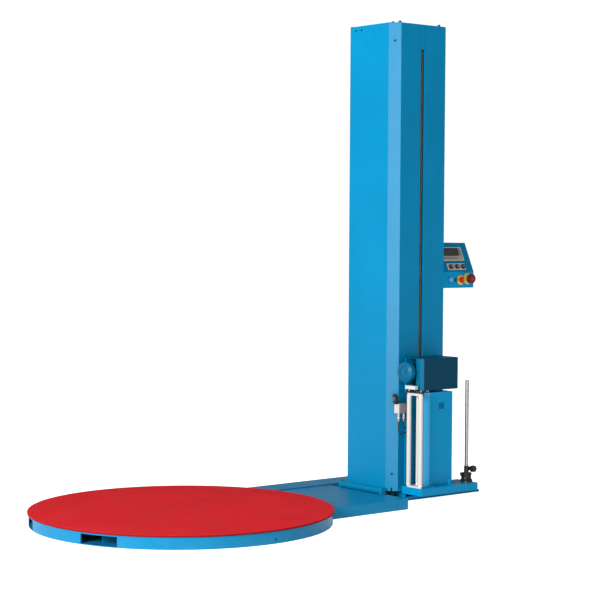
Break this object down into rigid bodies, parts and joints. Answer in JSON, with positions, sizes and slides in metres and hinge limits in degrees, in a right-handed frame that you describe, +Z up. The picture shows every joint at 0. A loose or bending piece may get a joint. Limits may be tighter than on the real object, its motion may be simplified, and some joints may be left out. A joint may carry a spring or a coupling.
{
  "type": "turntable pallet wrapper",
  "caption": "Low round turntable on a fork-pocket base with a folding mast, a lifting film carriage with pre-stretch rollers and a side console.",
  "frame": {"origin": "on the floor, on the turntable's vertical axis", "axes": "+Z up along the turntable's axis, +X from the turntable to the mast, film carriage on the mast's -Y side"},
  "size_m": [2.6478, 1.4998, 2.531],
  "materials": {
    "blue_paint": "semi-gloss sky-blue powder coat",
    "dark_blue_paint": "darker blue powder coat in shade",
    "red_paint": "red powder coat, fine texture",
    "white_rubber": "matt off-white roller covering",
    "white_plastic": "off-white moulded plastic",
    "steel": "machined bright steel",
    "zinc": "zinc-plated fasteners",
    "chain_steel": "oiled roller chain",
    "motor_paint": "grey motor enamel",
    "black_plastic": "black moulded plastic",
    "nylon": "natural nylon wheels",
    "grey_plastic": "grey operator panel",
    "yellow_plastic": "yellow safety plate",
    "red_plastic": "red moulded plastic",
    "lamp_blue": "blue lens",
    "cable_rubber": "black cable sheath"
  },
  "bodies": {
    "base": {"base_plate": "blue_paint", "base_ring": "blue_paint", "fork_rails": "blue_paint", "tray_cover": "blue_paint", "mast_foot_plate": "blue_paint", "hinge_shaft": "steel", "centre_post": "steel", "roller_brackets": "zinc", "table_gearmotor": "motor_paint", "drive_chain": "chain_steel", "base_screws": "zinc"},
    "turntable": {"turntable_plate": "red_paint", "turntable_hub": "steel", "ring_sprocket": "steel", "plate_screws": "zinc"},
    "drive_sprocket_body": {"drive_sprocket": "steel"},
    "mast": {"mast_frame": "dark_blue_paint", "front_cover": "blue_paint", "rear_cover": "blue_paint", "top_cap": "blue_paint", "lift_gearmotor": "motor_paint", "lift_chain": "chain_steel", "cover_screws": "zinc", "console_box": "blue_paint", "console_panel": "blue_paint", "hmi_unit": "grey_plastic", "button_strip": "grey_plastic", "yellow_plates": "yellow_plastic"},
    "lift_sprocket_body": {"lift_sprocket": "steel"},
    "idler_body": {"idler_sprocket": "steel"},
    "carriage": {"trolley": "steel", "carriage_frame": "blue_paint", "body_cover": "blue_paint", "head_cover": "dark_blue_paint", "head_motor": "motor_paint", "fan_cover": "blue_paint", "roller_yokes": "white_plastic", "spindle": "steel", "height_sensor": "white_plastic", "sensor_leads": "cable_rubber"},
    "roller_a_body": {"film_roller_a": "white_rubber"},
    "roller_b_body": {"film_roller_b": "white_rubber"},
    "roller_c_body": {"film_roller_c": "white_rubber"},
    "pinion_body": {"drive_pinion": "steel"},
    "core_hub_body": {"core_hub": "black_plastic"},
    "brake_knob_body": {"brake_knob": "black_plastic"},
    "start_button_body": {"start_button": "black_plastic"},
    "stop_button_body": {"stop_button": "black_plastic"},
    "pause_button_body": {"pause_button": "black_plastic"},
    "reset_button_body": {"reset_button": "lamp_blue"},
    "switch_body": {"switch_handle": "red_plastic"},
    "estop_body": {"estop_head": "red_plastic"},
    "support_roller_1_body": {"support_roller_1": "nylon"},
    "guide_wheel_1_body": {"guide_wheel_1": "nylon"},
    "support_roller_2_body": {"support_roller_2": "nylon"},
    "guide_wheel_2_body": {"guide_wheel_2": "nylon"},
    "support_roller_3_body": {"support_roller_3": "nylon"},
    "guide_wheel_3_body": {"guide_wheel_3": "nylon"},
    "support_roller_4_body": {"support_roller_4": "nylon"},
    "guide_wheel_4_body": {"guide_wheel_4": "nylon"}
  },
  "joints": [
    {"name": "turntable_spin", "type": "hinge", "parent": "base", "child": "turntable", "pos_m": [0, 0, 0.067], "axis": [0, 0, 1], "continuous": true},
    {"name": "drive_sprocket_spin", "type": "hinge", "parent": "base", "child": "drive_sprocket_body", "pos_m": [1.3, 0, 0.029], "axis": [0, 0, 1], "continuous": true},
    {"name": "support_roller_1_spin", "type": "hinge", "parent": "base", "child": "support_roller_1_body", "pos_m": [0.31, 0.53694, 0.0367], "axis": [0.5, 0.866, 0], "continuous": true},
    {"name": "support_roller_2_spin", "type": "hinge", "parent": "base", "child": "support_roller_2_body", "pos_m": [-0.31, 0.53694, 0.0367], "axis": [-0.5, 0.866, 0], "continuous": true},
    {"name": "support_roller_3_spin", "type": "hinge", "parent": "base", "child": "support_roller_3_body", "pos_m": [-0.31, -0.53694, 0.0367], "axis": [-0.5, -0.866, 0], "continuous": true},
    {"name": "support_roller_4_spin", "type": "hinge", "parent": "base", "child": "support_roller_4_body", "pos_m": [0.31, -0.53694, 0.0367], "axis": [0.5, -0.866, 0], "continuous": true},
    {"name": "mast_fold", "type": "hinge", "parent": "base", "child": "mast", "pos_m": [1.178, 0, 0.061], "axis": [0, -1, 0], "range_deg": [0, 90]},
    {"name": "carriage_lift", "type": "slide", "parent": "mast", "child": "carriage", "axis": [0, 0, 1], "range_m": [0, 1.65]},
    {"name": "lift_sprocket_spin", "type": "hinge", "parent": "mast", "child": "lift_sprocket_body", "pos_m": [1.407, -0.146, 2.42], "axis": [0, -1, 0], "range_deg": [0, 2883]},
    {"name": "idler_sprocket_spin", "type": "hinge", "parent": "mast", "child": "idler_body", "pos_m": [1.407, -0.146, 0.345], "axis": [0, -1, 0], "range_deg": [0, 2883]},
    {"name": "guide_wheel_1_spin", "type": "hinge", "parent": "carriage", "child": "guide_wheel_1_body", "pos_m": [1.3463, -0.167, 0.45], "axis": [0, -1, 0], "range_deg": [0, 4302]},
    {"name": "guide_wheel_2_spin", "type": "hinge", "parent": "carriage", "child": "guide_wheel_2_body", "pos_m": [1.4717, -0.167, 0.45], "axis": [0, 1, 0], "range_deg": [0, 4302]},
    {"name": "guide_wheel_3_spin", "type": "hinge", "parent": "carriage", "child": "guide_wheel_3_body", "pos_m": [1.3463, -0.167, 0.67], "axis": [0, -1, 0], "range_deg": [0, 4302]},
    {"name": "guide_wheel_4_spin", "type": "hinge", "parent": "carriage", "child": "guide_wheel_4_body", "pos_m": [1.4717, -0.167, 0.67], "axis": [0, 1, 0], "range_deg": [0, 4302]},
    {"name": "roller_b_spin", "type": "hinge", "parent": "carriage", "child": "roller_b_body", "pos_m": [1.29352, -0.30962, 0.34], "axis": [0, 0, 1], "continuous": true},
    {"name": "roller_a_spin", "type": "hinge", "parent": "carriage", "child": "roller_a_body", "pos_m": [1.25, -0.285, 0.34], "axis": [0, 0, 1], "continuous": true},
    {"name": "pinion_spin", "type": "hinge", "parent": "carriage", "child": "pinion_body", "pos_m": [1.34352, -0.30962, 0.6], "axis": [0, 0, 1], "continuous": true},
    {"name": "roller_c_spin", "type": "hinge", "parent": "carriage", "child": "roller_c_body", "pos_m": [1.25, -0.374, 0.34], "axis": [0, 0, 1], "continuous": true},
    {"name": "core_hub_spin", "type": "hinge", "parent": "carriage", "child": "core_hub_body", "pos_m": [1.607, -0.352, 0.13], "axis": [0, 0, 1], "continuous": true},
    {"name": "brake_knob_turn", "type": "hinge", "parent": "carriage", "child": "brake_knob_body", "pos_m": [1.636, -0.37, 0.166], "axis": [0, -1, 0], "range_deg": [-180, 180]},
    {"name": "start_button_press", "type": "slide", "parent": "mast", "child": "start_button_body", "axis": [0, 0.91, -0.4147], "range_m": [0, 0.004], "stiffness_N_per_m": 400, "springref_m": -0.0005},
    {"name": "stop_button_press", "type": "slide", "parent": "mast", "child": "stop_button_body", "axis": [0, 0.91, -0.4147], "range_m": [0, 0.004], "stiffness_N_per_m": 400, "springref_m": -0.0005},
    {"name": "pause_button_press", "type": "slide", "parent": "mast", "child": "pause_button_body", "axis": [0, 0.91, -0.4147], "range_m": [0, 0.004], "stiffness_N_per_m": 400, "springref_m": -0.0005},
    {"name": "reset_button_press", "type": "slide", "parent": "mast", "child": "reset_button_body", "axis": [0, 1, 0], "range_m": [0, 0.004], "stiffness_N_per_m": 400, "springref_m": -0.0005},
    {"name": "estop_press", "type": "slide", "parent": "mast", "child": "estop_body", "axis": [0, 1, 0], "range_m": [0, 0.004], "stiffness_N_per_m": 1500, "springref_m": -0.0005},
    {"name": "main_switch_turn", "type": "hinge", "parent": "mast", "child": "switch_body", "pos_m": [1.798, -0.11, 1.166], "axis": [0, 1, 0], "range_deg": [0, 90]}
  ],
  "couplings": [
    {"joint": "drive_sprocket_spin", "follows": "turntable_spin", "ratio": 3.75},
    {"joint": "support_roller_1_spin", "follows": "turntable_spin", "ratio": -28.182},
    {"joint": "support_roller_2_spin", "follows": "turntable_spin", "ratio": -28.182},
    {"joint": "support_roller_3_spin", "follows": "turntable_spin", "ratio": -28.182},
    {"joint": "support_roller_4_spin", "follows": "turntable_spin", "ratio": -28.182},
    {"joint": "lift_sprocket_spin", "follows": "carriage_lift", "rad_per_m": 30.445},
    {"joint": "idler_sprocket_spin", "follows": "carriage_lift", "rad_per_m": 30.445},
    {"joint": "guide_wheel_1_spin", "follows": "carriage_lift", "rad_per_m": 45.455},
    {"joint": "guide_wheel_2_spin", "follows": "carriage_lift", "rad_per_m": 45.455},
    {"joint": "guide_wheel_3_spin", "follows": "carriage_lift", "rad_per_m": 45.455},
    {"joint": "guide_wheel_4_spin", "follows": "carriage_lift", "rad_per_m": 45.455},
    {"joint": "roller_a_spin", "follows": "roller_b_spin", "ratio": -2.3333},
    {"joint": "pinion_spin", "follows": "roller_b_spin", "ratio": -2.3333}
  ]
}
